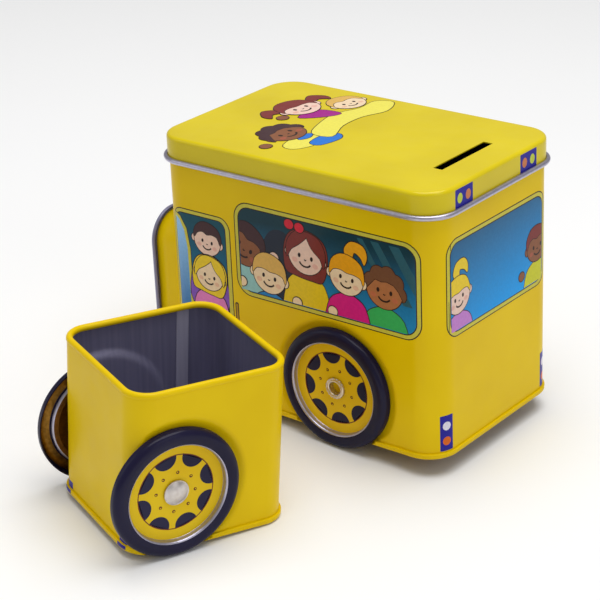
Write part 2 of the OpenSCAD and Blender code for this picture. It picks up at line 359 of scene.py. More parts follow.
def run_tree(start, tree, values):
    """Evaluates a mesh with the tree and its named values."""
    maker = link_object("maker", start)
    modifier = maker.modifiers.new("nodes", "NODES")
    modifier.node_group = tree
    for item in tree.interface.items_tree:
        if item.in_out == "INPUT" and item.name in values:
            modifier[item.identifier] = values[item.name]
    return plain_mesh(maker)


def outline_mesh(points):
    mesh = bpy.data.meshes.new("outline")
    verts = [(x * MM, y * MM, 0) for x, y in points]
    mesh.from_pydata(verts, [(i, i + 1) for i in range(len(verts) - 1)], [])
    return mesh


def swept(points, half_x, half_y, corner, material, steps=300, well=None, depth=WELL_DEEP):
    """An outline carried round a tin, as a mesh with one material slot."""
    values = {"Length": 2 * half_x * MM, "Width": 2 * half_y * MM, "Corner": corner * MM,
              "Steps": steps, "Material": material}
    if well:
        values.update({"Well X": well[0] * MM, "Well Z": well[1] * MM,
                       "Well Radius": WELL_R * MM, "Well Depth": depth * MM})
    mesh = run_tree(outline_mesh(points), around_tin, values)
    one_finish(mesh, material)
    return mesh


def one_finish(mesh, *materials):
    mesh.materials.clear()
    for material in materials:
        mesh.materials.append(material)
    mesh.polygons.foreach_set("material_index", [0] * len(mesh.polygons))


def thicken(mesh, outside, inside, sheet=SHEET, offset=-1, cutter=None):
    """Gives an open sheet its thickness, with a second finish on the inner face."""
    one_finish(mesh, outside, inside)
    maker = link_object("maker", mesh)
    solid = maker.modifiers.new("sheet", "SOLIDIFY")
    solid.thickness = sheet * MM
    solid.offset = offset
    solid.material_offset = 1
    if cutter:
        cut = maker.modifiers.new("slot", "BOOLEAN")
        cut.object = cutter
        cut.operation = "DIFFERENCE"
    return plain_mesh(maker)


def arc(cx, cy, r, start, end, steps=10):
    return [(cx + r * math.cos(math.radians(start + (end - start) * i / steps)),
             cy + r * math.sin(math.radians(start + (end - start) * i / steps)))
            for i in range(steps + 1)]


def block(name, centre, size, material, bevel=0.0):
    """A box, with softened edges where it is asked for."""
    bm = bmesh.new()
    bmesh.ops.create_cube(bm, size=1)
    bm.transform(Matrix.Translation(Vector(centre) * MM) @ Matrix.Diagonal((*(Vector(size) * MM), 1)))
    if bevel:
        bmesh.ops.bevel(bm, geom=bm.edges[:], offset=bevel * MM, segments=3, affect="EDGES")
    return mesh_from(bm, name, material)


print("mesh helpers ready")

# %% [markdown]
# The bus wall is a straight tube of sheet, yellow outside and bare inside. The outline is a plain
# upright line with many points, so that the wells have something to bend.

# %% The bus wall and its bottom seam


def upright(z0, z1, step=1.1):
    count = int((z1 - z0) / step)
    return [(0, z0 + (z1 - z0) * i / count) for i in range(count + 1)]


# The wall's inner face is bare tin darkened as painted shade.
wall = thicken(swept(upright(1.1, 103.0), BUS_X, BUS_Y, BUS_R, YELLOW, 400, (AXLE_X, AXLE_Z)),
               YELLOW, PAINTED_SHADE_TIN)
wall.transform(BUS)
piece_from("bus_wall", wall, "bus", ["bus_body"])

SEAM = ([(0.06, 2.2), (0.72, 2.15)] + arc(0.6, 1.85, 0.3, 60, 0, 4)
        + arc(0.05, 0.86, 0.84, 0, -180, 14) + [(-0.79, 2.1), (-0.41, 2.1)])


def capped(mesh, pick):
    """Closes the open loop that pick chooses with one flat face."""
    bm = bmesh.new()
    bm.from_mesh(mesh)
    edges = [e for e in bm.edges if e.is_boundary and all(pick(v.co) for v in e.verts)]
    bmesh.ops.edgeloop_fill(bm, edges=edges)
    bmesh.ops.recalc_face_normals(bm, faces=bm.faces)
    bm.to_mesh(mesh)
    bm.free()
    return mesh


def base(half_x, half_y, corner, place, name, body, node_name, well):
    """Rolled bottom seam outside, and the pressed bottom panel with its raised step."""
    seam = swept(list(reversed(SEAM)), half_x, half_y, corner, YELLOW, 400, well, SEAM_WELL)
    seam.transform(place)
    piece_from(name + "_seam", seam, body, [node_name])
    step = [(-0.62, 2.05), (-0.62, 1.3), (-2.6, 1.3), (-3.2, 1.38), (-4.2, 2.1), (-5.0, 2.2),
            (-corner + 0.6, 2.2)]
    panel = swept(step, half_x, half_y, corner, GOLD, 300, well, SEAM_WELL)
    capped(panel, lambda co: co.z > 2.19 * MM)
    # The panel's inner face is bare tin darkened as painted shade.
    mesh = thicken(panel, GOLD, PAINTED_SHADE_TIN, 0.3, 0)
    mesh.transform(place)
    piece_from(name + "_panel", mesh, body)


base(BUS_X, BUS_Y, BUS_R, BUS, "bus_bottom", "bus", "bus_bottom", (AXLE_X, AXLE_Z))
print("bus wall and bottom done")

# %% [markdown]
# The lid is drawn from one sheet: a skirt, a small rounding and a flat top. Its lower edge is
# rolled outwards into a curl that is left bare, because ink cracks when it is rolled that tight.
# The coin slot is cut with a Boolean once the sheet has a thickness.

# %% The lid, its coin slot and its bare curl
LX, LY, LR = BUS_X + LID_OUT, BUS_Y + LID_OUT, BUS_R + LID_OUT
skirt = ([(0, LID_CURL_Z + 0.3 + 0.5 * i) for i in range(15)]
         + arc(-1.5, LID_TOP - 1.5, 1.5, 0, 90, 8) + [(-2.5, LID_TOP), (-LR + 0.7, LID_TOP)])
lid_mesh = swept(skirt, LX, LY, LR, LID_YELLOW, 400)
capped(lid_mesh, lambda co: co.z > (LID_TOP - 0.01) * MM)
cutter = link_object("slot_cutter", block("slot_cutter", (SLOT_X, 0, LID_TOP),
                                          (SLOT_WIDE, SLOT_LONG, SLOT_WIDE), LID_YELLOW))
# The lid's inner face is bare tin darkened as painted shade.
lid_shell = thicken(lid_mesh, LID_YELLOW, PAINTED_SHADE_TIN, cutter=cutter)
bpy.data.objects.remove(cutter)
lid_shell.transform(BUS)
piece_from("lid_shell", lid_shell, "lid", ["lid"])


def curl(cx, cz, r, start=95, turn=318, steps=22):
    """A rolled edge seen end on: most of a turn of thin sheet that closes on itself."""
    outer = arc(cx, cz, r, start, start - turn, steps)
    inside = arc(cx, cz, r - 0.32, start - turn, start, steps)
    return outer + inside + [outer[0]]


lid_curl = swept(list(reversed(curl(LID_CURL - SHEET, LID_CURL_Z, LID_CURL, 118, 330))),
                 LX, LY, LR, SILVER, 340)
lid_curl.transform(BUS)
piece_from("lid_curl", lid_curl, "lid")
print("lid done")

# %% The front pan
PAN_HALF, PAN_R, PAN_DEEP, PAN_UP = 31.7, 11.0, 13.1, 33.3
PAN = BUS @ Matrix.Translation((-BUS_X * MM, 0, PAN_UP * MM)) @ Matrix.Rotation(math.radians(-90), 4, "Y")
pan_wall = swept([(-8, 0.02), (-1.0, 0.02)] + arc(-1.0, 1.02, 1.0, -90, 0, 6) + [(0, 6), (0, PAN_DEEP - 1.1)],
                 PAN_HALF, PAN_HALF, PAN_R, YELLOW, 260)
capped(pan_wall, lambda co: co.z < 0.021 * MM)
pan_wall.transform(PAN)
pan_mesh = thicken(pan_wall, YELLOW, YELLOW)
piece_from("front_pan_sheet", pan_mesh, "bus", ["front_pan"])
# The pan's rolled edge is bare tin darkened as painted shade, because it faces away from the light.
pan_rim = swept(list(reversed(curl(1 - SHEET, PAN_DEEP - 1, 1.0, -60, -330))),
                PAN_HALF, PAN_HALF, PAN_R, PAINTED_SHADE_TIN, 260)
pan_rim.transform(PAN)
piece_from("front_pan_curl", pan_rim, "bus")
print("front pan done")

# %% [markdown]
# The cup is the same kind of wall with its rim rolled inwards, so the yellow ink shows on top of
# the curl and the bare metal begins under it. Inside, one wall carries the flat folded seam that
# closes the sheet into a tube.

# %% The hood cup
# The cup wall's inner face is bare tin darkened as painted shade.
cup_wall = thicken(swept(upright(1.1, CUP_H - 1.3, 1.0), CUP_X, CUP_Y, CUP_R, YELLOW, 300,
                         (CUP_AXLE_X, CUP_AXLE_Z)), YELLOW, PAINTED_SHADE_TIN)
cup_wall.transform(CUP)
piece_from("cup_wall", cup_wall, "cup", ["cup_body"])
RIM_R, RIM_INSIDE, RIM_X = 1.25, 0.9, -0.95
rolled = arc(RIM_X, CUP_H - RIM_R, RIM_R, -60, 225, 22)
rolled += arc(RIM_X, CUP_H - RIM_R, RIM_INSIDE, 225, -60, 22) + rolled[:1]
cup_rim = swept(rolled, CUP_X, CUP_Y, CUP_R, YELLOW, 280)
cup_rim.transform(CUP)
piece_from("cup_rim", cup_rim, "cup")
base(CUP_X, CUP_Y, CUP_R, CUP, "cup_bottom", "cup", "cup_bottom", (CUP_AXLE_X, CUP_AXLE_Z))

# The seam's lighter tin is a painted highlight.
fold_mesh = block("cup_lock_seam", (18.5, CUP_Y - 0.62, 31), (5, 0.45, 57), PAINTED_HIGHLIGHT_SEAM_TIN, 0.18)
fold_mesh.transform(CUP)
piece_from("cup_lock_seam", fold_mesh, "cup")
print("cup done")

# %% [markdown]
# A wheel is one stamped disc: a dished yellow middle, a bare upright step and a rounded navy
# tyre, with a lacquered back. It is turned, so a lathe of its cross-section gives it exactly, and
# each run of the cross-section takes its own finish.

# %% A lathe for wheels and rivets


def lathe(name, runs, place, steps=96):
    """Turns a closed cross-section about Z. runs is a list of (material, [(radius, height), ...])."""
    mesh = bpy.data.meshes.new(name)
    points, owner = [], []
    mats = []
    for mat, pts in runs:
        if mat not in mats:
            mats.append(mat)
        for p in pts[:-1]:
            points.append(p)
            owner.append(mats.index(mat))
    n = len(points)
    verts = [(r * MM * math.cos(math.tau * k / steps), r * MM * math.sin(math.tau * k / steps), h * MM)
             for k in range(steps) for r, h in points]
    faces, slots = [], []
    for k in range(steps):
        k2 = (k + 1) % steps
        for i in range(n):
            j = (i + 1) % n
            faces.append((k * n + i, k2 * n + i, k2 * n + j, k * n + j))
            slots.append(owner[i])
    mesh.from_pydata(verts, [], faces)
    for m in mats:
        mesh.materials.append(m)
    for poly, s in zip(mesh.polygons, slots):
        poly.material_index = s
        poly.use_smooth = True
    bm = bmesh.new()
    bm.from_mesh(mesh)
    bmesh.ops.remove_doubles(bm, verts=bm.verts, dist=1e-6)
    bmesh.ops.recalc_face_normals(bm, faces=bm.faces)
    for e in bm.edges:
        if len(e.link_faces) == 2 and e.calc_face_angle(0) > 0.7:
            e.smooth = False
    bm.to_mesh(mesh)
    bm.free()
    mesh.transform(place)
    return mesh


def on_side(place, s, x, half_y, z):
    """A frame on a side wall's well floor with Z along the axle, outwards."""
    return (place @ Matrix.Translation((x * MM, s * (half_y - WELL_DEEP) * MM, z * MM))
            @ Matrix.Rotation(math.radians(-90 if s > 0 else 90), 4, "X"))


SIDES = {"left": -1, "right": 1}
STATIONS = {}
for side, s in SIDES.items():
    STATIONS["rear_" + side] = (on_side(BUS, s, AXLE_X, BUS_Y, AXLE_Z), "bus", BUS_BORE)
    STATIONS["front_" + side] = (on_side(CUP, s, CUP_AXLE_X, CUP_Y, CUP_AXLE_Z), "cup", CUP_BORE)

# %% Turn the four wheels
TOP = WELL_DEEP + TYRE_OUT
DISH = 1.7


def wheel_runs(bore):
    step = arc(19.5, TOP - 1.2, 1.2, 180, 118, 5)
    crown = arc(21.1, TOP - 2.3, 2.28, 108, 90, 3) + arc(21.7, TOP - 2.4, 2.38, 88, 0, 12)
    back = [(23.6, 0.62), (23.6, 2.0)] + arc(21.6, TOP - 2.6, 2.0, 0, 100, 8)
    return [
        (DISH_YELLOW, [(bore, 1.2), (bore, DISH), (14.6, DISH), (17.6, DISH), (18.2, DISH + 0.12)]),
        (SILVER, [(18.2, DISH + 0.12), (18.35, DISH + 0.4)] + step),
        (NAVY_PRINT_AND_SHADE, [step[-1]] + crown + [(24.08, 0.62), (23.6, 0.62)]),
        (NAVY_PRINT_AND_SHADE, back[:-4]),
        (GOLD, back[-5:] + [(19.4, TOP - 1.6)]),
        # This navy ring inside the gold curl is painted shade on the wheel's back.
        (NAVY_PRINT_AND_SHADE, [(19.4, TOP - 1.6), (18.95, TOP - 2.2)]),
        (SILVER, [(18.95, TOP - 2.2), (18.7, 1.5), (18.2, 1.2)]),
        (BROWN_LACQUER_AND_REFLECTION, [(18.2, 1.2), (16.9, 1.2), (16.5, 1.05), (16.1, 1.2), (10, 1.2), (bore, 1.2)]),
    ]


for place_name, (at, body, bore) in STATIONS.items():
    wheel = lathe(place_name + "_disc", wheel_runs(bore), at, 128)
    piece_from(place_name + "_disc", wheel, place_name + "_wheel", [place_name + "_wheel"])
print("four wheels turned")

# %% [markdown]
# The wheel's print repeats eight times: dark half-moon openings under a thin ring, and small
# bolts. The same goes for the petals of a rivet's rolled flange. One tree turns copies of any
# small shape evenly about an axle.

# %% The tree that repeats a shape about an axle
around_axle, ins = tree_with("around_axle", [("Count", "Int"), ("Turn", "Float"), ("Material", "Material")])
t = around_axle
spots = node(t, "GeometryNodePoints", ("Count", ins["Count"]), ("Position", (0.0, 0.0, 0.0)))
each = node(t, "ShaderNodeMath", (0, math.tau), (1, ins["Count"]), operation="DIVIDE")
turn = maths(t, "ADD", maths(t, "MULTIPLY", node(t, "GeometryNodeInputIndex"), each), ins["Turn"])
spin = node(t, "ShaderNodeCombineXYZ", ("Z", turn))
copies = node(t, "GeometryNodeInstanceOnPoints", ("Points", spots), ("Instance", ins["Geometry"]),
              ("Rotation", spin))
close_tree(t, copies, ins["Material"])
print("tree around_axle has", len(t.nodes), "nodes")


def plate_mesh(points, low, high):
    """A thin closed plate from a flat outline, in millimetres."""
    mesh = bpy.data.meshes.new("plate")
    n = len(points)
    verts = [(x * MM, y * MM, high * MM) for x, y in points] + [(x * MM, y * MM, low * MM) for x, y in points]
    faces = [tuple(range(n)), tuple(reversed(range(n, 2 * n)))]
    faces += [(n + i, n + (i + 1) % n, (i + 1) % n, i) for i in range(n)]
    mesh.from_pydata(verts, [], faces)
    return mesh


def repeated(mesh, count, turn, material):
    return run_tree(mesh, around_axle, {"Count": count, "Turn": turn, "Material": material})


def joined_mesh(name, meshes, place):
    bm = bmesh.new()
    mats = []
    for m in meshes:
        part_bm = bmesh.new()
        part_bm.from_mesh(m)
        for f in part_bm.faces:
            mat = m.materials[f.material_index]
            if mat not in mats:
                mats.append(mat)
            f.material_index = mats.index(mat)
        bm.from_mesh(mesh_from(part_bm, "flat"))
    mesh = mesh_from(bm, name, *mats)
    mesh.transform(place)
    return mesh


# %% Print the openings, the ring and the bolts


def plain_ink(name, low, high):
    return printed_tin(name, low, high, (0.3, 0.45), 0.00005)


HOLE_INK = plain_ink("opening_ink", tone(34, 32, 56), tone(46, 44, 72))
RING_INK = plain_ink("ring_ink", tone(104, 52, 40), tone(128, 66, 48))
BOLT_INK = plain_ink("bolt_ink", tone(92, 50, 30), tone(120, 66, 40))
meet = math.degrees(2 * math.asin(4.3 / 2 / 14.2))
edge_angle = 92
half_moon = (arc(0, 0, 14.2, -meet, meet, 10)
             + arc(14.1, 0, 4.25, edge_angle, 360 - edge_angle, 18))
for place_name, (at, body, bore) in STATIONS.items():
    low = DISH - 0.08
    shift = 0.12 if body == "bus" else 0.3
    moons = repeated(plate_mesh(half_moon, low, DISH + 0.03), 8, shift, HOLE_INK)
    bolt = [(7.5 + x, y) for x, y in arc(0, 0, 0.62, 0, 345, 15)]
    bolts = repeated(plate_mesh(bolt, low, DISH + 0.05), 8, shift + math.pi / 8, BOLT_INK)
    dot = [(7.5 + x, y) for x, y in arc(0.12, 0.12, 0.26, 0, 330, 11)]
    dots = repeated(plate_mesh(dot, low, DISH + 0.08), 8, shift + math.pi / 8, DISH_YELLOW)
    band = [(14.1, low), (14.45, low), (14.45, DISH + 0.04), (14.1, DISH + 0.04), (14.1, low)]
    hoop = lathe("hoop", [(RING_INK, band)], Matrix.Identity(4), 96)
    mesh = joined_mesh(place_name + "_print", [moons, bolts, dots, hoop], at)
    piece_from(place_name + "_print", mesh, place_name + "_wheel")
print("wheel prints done")

# %% [markdown]
# The cup's wheels turn on solid rivets with a polished dome. The bus's wheels turn on hollow
# rivets: a tube rolled over into a flange, whose edge splits into small petals as it is rolled.

# %% Rivets, spacers and washers
DOME_R, DOME_TOP = 8.5, 3.48
for place_name, (at, body, bore) in STATIONS.items():
    if body == "bus":
        tube = ([(2.6, -1.7), (2.6, 2.2)] + arc(3.1, 2.3, 0.5, 180, 90, 5)
                + arc(3.4, 2.05, 0.78, 88, -10, 8)
                + [(3.0, 2.02), (3.0, -0.95), (4.0, -0.95), (4.0, -1.7), (2.6, -1.7)])
        rivet = lathe("rivet", [(EYELET, tube)], Matrix.Identity(4), 96)
        # A brown disc inside the tin fills the hollow eyelet's centre: a painted reflection of the orange
        # wheel.
        closed = [(0.001, -1.5), (2.59, -1.5), (2.59, -1.1), (0.001, -1.1), (0.001, -1.5)]
        painted_reflection_disc = lathe("well", [(BROWN_LACQUER_AND_REFLECTION, closed)], Matrix.Identity(4), 48)
        petal = plate_mesh([(3.2, -0.28), (4.0, -0.5), (4.18, -0.3), (4.2, 0.0), (4.18, 0.3), (4.0, 0.5),
                            (3.2, 0.28)], 2.03, 2.62)
        petals = repeated(petal, 18, 0.1, EYELET)
        mesh = joined_mesh(place_name + "_eyelet", [rivet, petals, painted_reflection_disc], at)
    else:
        dome = ([(0.001, -1.6), (3.2, -1.6), (3.2, -0.92), (2.0, -0.92), (2.0, 2.0), (4.55, 2.0)]
                + arc(4.4, 2.3, 0.3, -60, 35, 5)
                + [(DOME_R * math.sin(a), DOME_TOP - DOME_R + DOME_R * math.cos(a))
                   for a in (0.53, 0.45, 0.37, 0.29, 0.21, 0.13, 0.06, 0.0001)]
                + [(0.001, -1.6)])
        rivet = lathe("rivet", [(RIVET, dome)], Matrix.Identity(4), 96)
        mesh = joined_mesh(place_name + "_dome", [rivet], at)
    piece_from(mesh.name, mesh, body, [place_name + "_rivet"])
# Spacers and washers take the same tin darkened as painted shade.
for name, obj in frame["nodes"].items():
    if name.endswith("spacer") or name.endswith("washer"):
        obj.data.materials.clear()
        obj.data.materials.append(PAINTED_SHADE_TIN)
print("rivets done")

# %% [markdown]
# The tin is printed flat before it is bent, so its artwork is drawn flat here as well: plain
# outlines in millimetres, the width along the wall and the height up it. Each outline becomes a
# very thin closed plate of ink, cut across where the wall bends, and then wrapped round the tin.
# Each level of ink lies a few thousandths of a millimetre above the level under it, and plates of
# one level differ by less than that, so that no two share a plane.

# %% Flat outlines


def disc(x, y, rx, ry=None, steps=20):
    ry = ry or rx
    return [(x + rx * math.cos(math.tau * i / steps), y + ry * math.sin(math.tau * i / steps))
            for i in range(steps)]


def rounded(x0, y0, x1, y1, r, steps=7):
    return (arc(x1 - r, y1 - r, r, 0, 90, steps) + arc(x0 + r, y1 - r, r, 90, 180, steps)
            + arc(x0 + r, y0 + r, r, 180, 270, steps) + arc(x1 - r, y0 + r, r, 270, 360, steps))


def smooth_loop(points, per=4):
    """A closed curve through the given points."""
    out, n = [], len(points)
    for i in range(n):
        a, b, c, d = (points[(i + k) % n] for k in (-1, 0, 1, 2))
        for k in range(per):
            f = k / per
            out.append(tuple(0.5 * (2 * b[j] + (c[j] - a[j]) * f
                                    + (2 * a[j] - 5 * b[j] + 4 * c[j] - d[j]) * f * f
                                    + (3 * b[j] - a[j] - 3 * c[j] + d[j]) * f ** 3) for j in (0, 1)))
    return out


def stroke(points, width):
    """A pen line along an open path."""
    left, rightwards = [], []
    for i, (x, y) in enumerate(points):
        x0, y0 = points[max(i - 1, 0)]
        x1, y1 = points[min(i + 1, len(points) - 1)]
        size = math.hypot(x1 - x0, y1 - y0) or 1
        nx, ny = -(y1 - y0) / size * width / 2, (x1 - x0) / size * width / 2
        left.append((x + nx, y + ny))
        rightwards.append((x - nx, y - ny))
    return rightwards + left[::-1]


def signed_area(points):
    return sum(a[0] * b[1] - b[0] * a[1] for a, b in zip(points, points[1:] + points[:1])) / 2


def grown(points, by):
    """The outline moved outwards, for the dark line that a printer puts round a shape."""
    if signed_area(points) < 0:
        points = points[::-1]
    out, n = [], len(points)
    for i in range(n):
        (x0, y0), (x1, y1) = points[i - 1], points[(i + 1) % n]
        size = math.hypot(x1 - x0, y1 - y0) or 1
        out.append((points[i][0] + (y1 - y0) / size * by, points[i][1] - (x1 - x0) / size * by))
    return out


def clipped(points, box):
    """Keeps the part of an outline inside box = (x0, y0, x1, y1)."""
    for axis, bound, sign in ((0, box[0], 1), (1, box[1], 1), (0, box[2], -1), (1, box[3], -1)):
        kept = []
        for a, b in zip(points, points[1:] + points[:1]):
            ia, ib = sign * (a[axis] - bound) >= 0, sign * (b[axis] - bound) >= 0
            if ia:
                kept.append(a)
            if ia != ib:
                f = (bound - a[axis]) / (b[axis] - a[axis])
                kept.append((a[0] + (b[0] - a[0]) * f, a[1] + (b[1] - a[1]) * f))
        points = kept
        if len(points) < 3:
            return []
    return points


def shrunk(box, by):
    return box[0] + by, box[1] + by, box[2] - by, box[3] - by


print("outline helpers ready")

# %% Wrap a flat point round a tin
BEND_CUT, FLAT_CUT = 0.5, 5
INK_FOOT, INK_TOP, INK_LEVEL, INK_STEP, INK_STEPS = -0.05, 0.03, 0.007, 0.0006, 11


def around_wall(half_x, half_y, corner, well=None):
    """Returns the function that turns (along, up, out) into a point, in millimetres."""
    sx, sy = half_x - corner, half_y - corner
    bend = math.pi / 2 * corner
    runs = [(sx, (0, -1), (0, -half_y), (1, 0)), (bend, (sx, -sy), -90),
            (2 * sy, (1, 0), (half_x, -sy), (0, 1)), (bend, (sx, sy), 0),
            (2 * sx, (0, 1), (sx, half_y), (-1, 0)), (bend, (-sx, sy), 90),
            (2 * sy, (-1, 0), (-half_x, sy), (0, -1)), (bend, (-sx, -sy), 180),
            (sx, (0, -1), (-sx, -half_y), (1, 0))]
    total = sum(run[0] for run in runs)
    cuts, start = [], 0
    for run in runs:
        pieces = math.ceil(run[0] / (BEND_CUT if len(run) == 3 else FLAT_CUT))
        cuts += [start + run[0] * i / pieces for i in range(pieces)]
        start += run[0]
    cuts = [cut + turn * total for turn in (-1, 0, 1) for cut in cuts]

    def to_tin(u, z, out):
        u = u % total
        for run in runs:
            if u <= run[0] + 1e-9:
                break
            u -= run[0]
        if len(run) == 3:
            a = math.radians(run[2]) + u / corner
            nx, ny = math.cos(a), math.sin(a)
            x, y = run[1][0] + corner * nx, run[1][1] + corner * ny
        else:
            (nx, ny), (x, y), (ax, ay) = run[1:]
            x, y = x + ax * u, y + ay * u
        if well:
            f = min(max((WELL_R - math.hypot(x - well[0], z - well[1])) / WELL_EDGE, 0), 1)
            limit = half_y - WELL_DEEP * f * f * (3 - 2 * f)
            y = max(min(y, limit), -limit)
        return Vector((x + nx * out, y + ny * out, z)) * MM

    return to_tin, cuts, total


def print_sheet(to_tin, cuts, rows=4):
    """Starts an artwork. stamp() adds an ink, and the bmesh collects them all."""
    bm = bmesh.new()
    ink = bm.loops.layers.float_color.new("ink")
    count = itertools.count()

    def stamp(points, level, colour, flip=None, lift=0.0):
        if len(points) < 3:
            return
        if flip is not None:
            points = [(flip - x, y) for x, y in points]
        if signed_area(points) < 0:
            points = points[::-1]
        flat = bmesh.new()
        flat.faces.new([flat.verts.new((x, y, 0)) for x, y in points])
        flat.normal_update()
        bmesh.ops.triangulate(flat, faces=flat.faces[:], ngon_method="EAR_CLIP")
        lowest, highest = min(y for x, y in points), max(y for x, y in points)
        shaded = [k * rows for k in range(math.ceil(lowest / rows), math.ceil(highest / rows))]
        left, right_end = min(x for x, y in points), max(x for x, y in points)
        planes = [((cut, 0, 0), (1, 0, 0)) for cut in cuts if left < cut < right_end]
        planes += [((0, cut, 0), (0, 1, 0)) for cut in shaded if callable(colour)]
        for at, normal in planes:
            geom = flat.verts[:] + flat.edges[:] + flat.faces[:]
            bmesh.ops.bisect_plane(flat, geom=geom, dist=1e-5, plane_co=at, plane_no=normal)
        high = INK_TOP + level * INK_LEVEL + next(count) % INK_STEPS * INK_STEP + lift
        tops = {v: bm.verts.new(to_tin(v.co.x, v.co.y, high)) for v in flat.verts}
        lows = {v: bm.verts.new(to_tin(v.co.x, v.co.y, INK_FOOT)) for v in flat.verts}

        def shade(face, sources):
            for loop, v in zip(face.loops, sources):
                x = v.co.x if flip is None else flip - v.co.x
                loop[ink] = colour(x, v.co.y) if callable(colour) else colour

        for f in flat.faces:
            vs = list(f.verts)
            if f.normal.z < 0:
                vs.reverse()
            shade(bm.faces.new([tops[v] for v in vs]), vs)
            shade(bm.faces.new([lows[v] for v in reversed(vs)]), list(reversed(vs)))
            for a, b in zip(vs, vs[1:] + vs[:1]):
                edge = flat.edges.get((a, b))
                if len(edge.link_faces) == 1:
                    shade(bm.faces.new([tops[b], tops[a], lows[a], lows[b]]), [b, a, a, b])
        flat.free()

    return bm, stamp


def printed_piece(name, bm, place, body):
    mesh = mesh_from(bm, name, INK)
    mesh.transform(place)
    print(name, "faces:", len(mesh.polygons))
    return piece_from(name, mesh, body)


print("a wrapped point, in metres:", around_wall(BUS_X, BUS_Y, BUS_R)[0](0, 50, 0))

# %% [markdown]
# All inks share one finish. Its colour is painted on the corners of the artwork's faces, so one
# material prints every figure, and a little noise breaks the colour up as a halftone does.

# %% The printing ink
INK, ink_tree, ink_bsdf = shader("printing_ink", Coat_Weight=0.12, Coat_Roughness=0.16,
                                 Specular_IOR_Level=0.1)
painted = node(ink_tree, "ShaderNodeAttribute", attribute_name="ink")
dots = between(ink_tree, noise(ink_tree, 900, 1), (0.94, 0.94, 0.95, 1), (1, 1, 1, 1), 0.4, 0.62)
mixed = node(ink_tree, "ShaderNodeMix", ("Factor", 1.0), (6, painted), (7, dots), out=2,
             data_type="RGBA", blend_type="MULTIPLY")
ink_tree.links.new(mixed, ink_bsdf.inputs["Base Color"])
ink_tree.links.new(span(ink_tree, noise(ink_tree, 160, 2), 0.3, 0.42), ink_bsdf.inputs["Roughness"])
ripple(ink_tree, ink_bsdf, [(noise(ink_tree, 26, 1), 0.0003)])
print("materials in all:", len(bpy.data.materials))

# %% [markdown]
# The passengers are a printer's simple figures: a round head, a hair shape, dots for eyes and a
# small smile. They are nobody in particular. Every shape with an outline is stamped twice, first a
# little larger in the dark line colour. Eyes, cheeks and smiles are stamped once.

# %% A passenger
LINE = tone(48, 32, 30)
HAIR = {
    "short": [[(-1.02, 0.0), (-1.0, 0.6), (-0.55, 1.08), (0.1, 1.16), (0.75, 0.92), (1.05, 0.35),
               (1.0, 0.0), (0.74, 0.42), (0.3, 0.5), (-0.05, 0.4), (-0.4, 0.52), (-0.78, 0.36)]],
    "parted": [[(-1.08, -0.35), (-1.12, 0.4), (-0.7, 1.05), (-0.05, 1.2), (0.0, 0.95), (-0.45, 0.45),
                (-0.85, 0.1)],
               [(1.08, -0.35), (1.12, 0.4), (0.7, 1.05), (-0.05, 1.2), (0.0, 0.95), (0.35, 0.45),
                (0.85, 0.1)]],
    "fringe": [[(-1.04, -0.1), (-1.0, 0.65), (-0.5, 1.12), (0.2, 1.16), (0.8, 0.85), (1.04, 0.2),
                (1.0, -0.1), (0.82, 0.2), (0.4, 0.28), (0.0, 0.24), (-0.4, 0.3), (-0.82, 0.2)]],
}
SCALLOPS = [(math.radians(a), 1.08 + 0.14 * abs(math.cos(math.radians(4.5 * a))))
            for a in range(-16, 197, 4)]
HAIR["curls"] = [[(r * math.cos(a), r * math.sin(a)) for a, r in SCALLOPS]
                 + [(-0.8, 0.12), (-0.55, 0.42), (-0.2, 0.38), (0.1, 0.46), (0.5, 0.38), (0.8, 0.12)]]
BEHIND = {
    "parted": [[(-1.1, -1.0), (-1.28, 0.1), (-0.95, 0.95), (0.0, 1.26), (0.95, 0.95), (1.28, 0.1),
                (1.1, -1.0), (0.5, -1.15), (-0.5, -1.15)]],
    "tail": [[(-0.1, 1.0), (-0.3, 1.45), (0.05, 1.95), (0.75, 1.95), (1.05, 1.5), (0.95, 1.0), (0.7, 1.3),
              (0.3, 1.45), (0.2, 1.0)]],
    "bunches": [[(-0.9, 0.5), (-1.5, 0.95), (-2.0, 0.4), (-1.9, -0.1), (-1.5, 0.25), (-1.0, 0.1)],
                [(0.9, 0.5), (1.5, 0.95), (2.0, 0.4), (1.9, -0.1), (1.5, 0.25), (1.0, 0.1)]],
}


